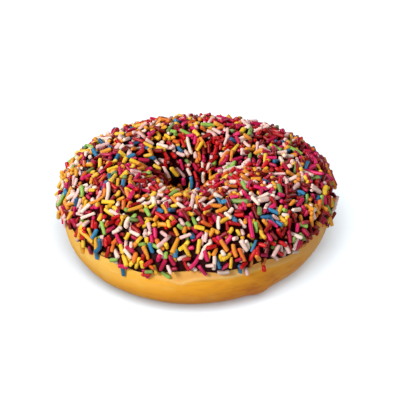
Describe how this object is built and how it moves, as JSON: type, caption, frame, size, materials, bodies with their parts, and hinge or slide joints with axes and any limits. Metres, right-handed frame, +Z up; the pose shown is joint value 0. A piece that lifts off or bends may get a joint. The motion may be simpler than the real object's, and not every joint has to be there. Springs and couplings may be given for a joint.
{
  "type": "sprinkle frosted doughnut",
  "caption": "Ring doughnut of golden fried dough, its upper half dipped in dark chocolate icing and crowded with multicoloured sugar sprinkles.",
  "frame": {"origin": "middle of the underside that it rests on, under the middle of the whole doughnut's box", "axes": "+Z up through the hole, out of the iced top; -Y towards the fullest part of the outline, its front; +X to the right seen from the front"},
  "size_m": [0.0965, 0.0959, 0.0345],
  "materials": {
    "dough": "golden fried dough, satin, browner round the lower side and cream along a thin collar under the icing",
    "chocolate_icing": "near-black dark chocolate icing, set, with a soft gloss",
    "sprinkle_pink": "magenta pink sugar paste, waxy",
    "sprinkle_cream": "pale pinkish cream sugar paste, waxy",
    "sprinkle_yellow": "golden yellow sugar paste, waxy",
    "sprinkle_orange": "orange sugar paste, waxy",
    "sprinkle_red": "deep red sugar paste, waxy",
    "sprinkle_blue": "mid blue sugar paste, waxy",
    "sprinkle_green": "leaf green sugar paste, waxy"
  },
  "bodies": {
    "root": {"dough_ring": "dough", "icing_with_sprinkles": "chocolate_icing"}
  },
  "joints": []
}
